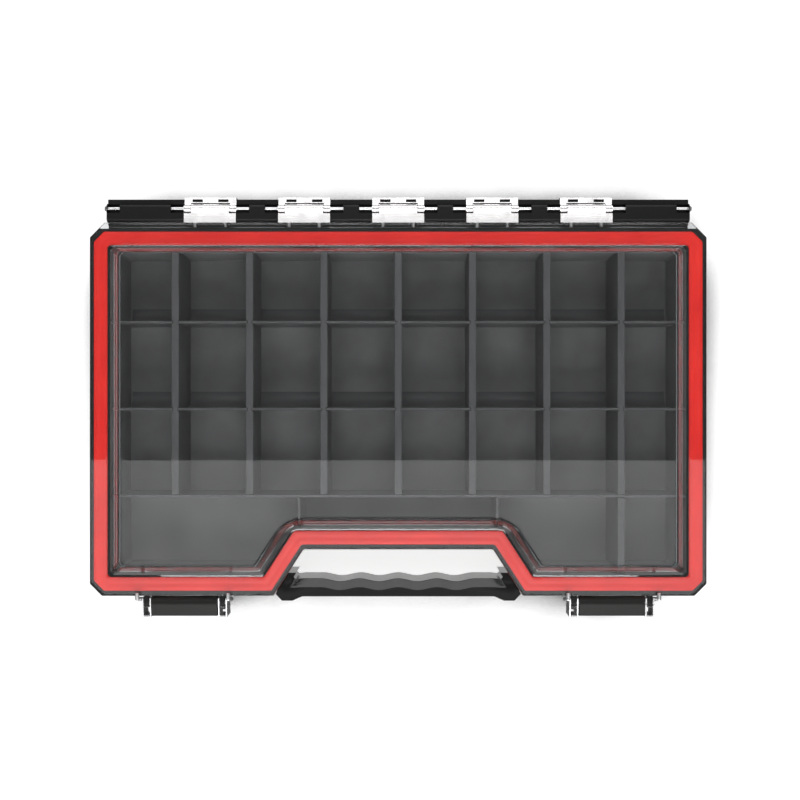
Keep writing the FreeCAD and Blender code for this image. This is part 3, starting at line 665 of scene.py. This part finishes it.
def card_material(glow):
    """Paper with a faint tooth that gives off glow times white evenly."""
    material, tree, shader, place = finish_named("white card", (0.8, 0.8, 0.8), 0.8)
    bumped(tree, shader, grain(tree, place, 1 * MM), 0.01 * MM)
    shader.inputs["Emission Color"].default_value = (1.0, 0.995, 0.99, 1)
    shader.inputs["Emission Strength"].default_value = glow
    return material


card_half, card_start, card_end = 76 * MM, lid_front + 3 * MM, lid_front + notch_deep + 3 * MM
paper = card_material(notch_card_glow)
flat_sheet("card", (-card_half, card_start), (card_half, card_end), card_height, paper)
front_half, front_start, front_end = 0.35, -0.75, lid_front - 55 * MM
paper = card_material(front_card_glow)
front_card = flat_sheet(
    "front_card", (-front_half, front_start), (front_half, front_end), card_height, paper
)
front_card.visible_camera = front_card.visible_transmission = False
front_card.visible_diffuse = front_card.visible_shadow = False
print("cards", round(2 * card_half, 3), "m and", 2 * front_half, "m wide")

# %% [markdown]
# Clear plastic and steel show what they mirror, so the lamps are placed by where the case mirrors them.
# A long strip over the front row lies in the lid as a lighter field with a straight edge, and a second
# one whitens the hinge leaves. Small strips do it for the latches. Upright panels on four sides give the
# walls and bevels something to show, and two lamps in front and behind light the slopes. One big sky
# would be simpler, and every edge would be grey.
# %% Lamps


def soft_lamp(name, place, look, size, power):
    """A rectangular area lamp at a place, turned towards another.

    It leans from straight down by the angle whose tangent is level distance over drop, and then turns
    about Z to face along the level part."""
    data = bpy.data.lights.new(name, "AREA")
    data.shape = "RECTANGLE"
    data.size, data.size_y = size
    data.energy = power
    lamp = bpy.data.objects.new(name, data)
    lamp.location = place
    direction = np.array(look) - np.array(place)
    dip = math.atan2(math.hypot(direction[0], direction[1]), -direction[2])
    lamp.rotation_euler = (dip, 0, math.atan2(-direction[0], direction[1]))
    bpy.context.scene.collection.objects.link(lamp)
    return lamp


def panel(name, place, look, size, radiance):
    """A soft lamp given by how bright its face looks: power = radiance * pi * width * height."""
    return soft_lamp(name, place, look, size, radiance * math.pi * size[0] * size[1])


strip_height, low_centre = 1.65, (0.0, 0.0, 0.05)
strips = {
    "lid strip": ((0.0, -0.246), (1.8, 0.268), 1.06),
    "leaf strip": ((0.0, 0.46), (1.1, 0.2), 1.9),
    "left latch strip": ((-0.43, -0.45), (0.3, 0.16), 1.2),
    "right latch strip": ((0.43, -0.45), (0.3, 0.16), 1.2),
}
panels = {
    "rear panel": ((0.0, 1.3, 0.6), low_centre, (2.2, 0.7), 1.0),
    "front panel": ((0.0, -1.3, 0.6), low_centre, (2.2, 0.7), 1.5),
    "left panel": ((-1.3, 0.0, 0.6), low_centre, (1.6, 0.7), 0.4),
    "right panel": ((1.3, 0.0, 0.6), low_centre, (1.6, 0.7), 0.4),
    "front top": ((0.0, -1.15, 1.45), (0.0, 0.0, 0.0), (1.0, 0.6), 7.0),
    "rear top": ((0.0, 1.3, 1.2), (0.0, 0.0, 0.0), (1.4, 0.7), 4.0),
}
for name, (plan, size, radiance) in strips.items():
    panel(name, (*plan, strip_height), (*plan, 0.0), size, radiance)
for name, (place, look, size, radiance) in panels.items():
    panel(name, place, look, size, radiance)
print(len(strips) + len(panels), "lamps")

# %% [markdown]
# The air round the case is white to the eye, which gives a white background from every side. To all
# other rays it is a dim studio, a little lighter overhead, so that no colour is washed out.
# %% Studio air


def studio_air(horizon, zenith):
    """A world of strength 1 to the eye, and otherwise horizon to zenith as the ray's Z goes up.

    Z from 0.5 to 0.93 is spread over the two strengths, so only a cap overhead is lighter."""
    world = bpy.data.worlds.new("studio")
    bpy.context.scene.world = world
    world.use_nodes = True
    tree = world.node_tree
    light = tree.nodes["Background"]
    light.inputs["Color"].default_value = (1, 1, 1, 1)
    direction = tree.nodes.new("ShaderNodeSeparateXYZ")
    tree.links.new(tree.nodes.new("ShaderNodeTexCoord").outputs["Generated"], direction.inputs["Vector"])
    sky = ranged(tree, direction.outputs["Z"], horizon, zenith, 0.5, 0.93)
    path = tree.nodes.new("ShaderNodeLightPath")
    pick = tree.nodes.new("ShaderNodeMix")
    pick.inputs["B"].default_value = 1.0
    tree.links.new(path.outputs["Is Camera Ray"], pick.inputs["Factor"])
    tree.links.new(sky, pick.inputs["A"])
    tree.links.new(pick.outputs["Result"], light.inputs["Strength"])


air_horizon, air_zenith = 0.1, 0.2
studio_air(air_horizon, air_zenith)
print("air from", air_horizon, "to", air_zenith)

# %% [markdown]
# The camera looks straight down from 0.7 m above the lid's flange, a few millimetres off the middle. A
# camera at that height sees a little of the compartments' walls, as a person does. Its lens is worked out
# by similar triangles from how much it takes in at the flange:
# lens / sensor width = height / width taken in.
# %% Camera
camera_above = 0.700
width_taken_in = 0.4771
centre_x, centre_y = 0.00107, 0.0055
camera_data = bpy.data.cameras.new("camera")
camera_data.sensor_width = 36.0
camera_data.lens = camera_data.sensor_width * camera_above / width_taken_in
camera = bpy.data.objects.new("camera", camera_data)
camera.location = (centre_x, centre_y, seal_high + flange_thickness + camera_above)
bpy.context.scene.collection.objects.link(camera)
bpy.context.scene.camera = camera
bpy.context.scene.view_settings.view_transform = "Standard"
print("lens", round(camera_data.lens, 1), "mm at", round(camera.location.z, 3), "m")

# %% [markdown]
# Last, the number of dressed nodes is printed. A dressed piece that passed the imported model's box would
# no longer fit what the case meets, so the two should agree.
# %% Finish
print("dressed case of", len(NODES), "nodes is ready")
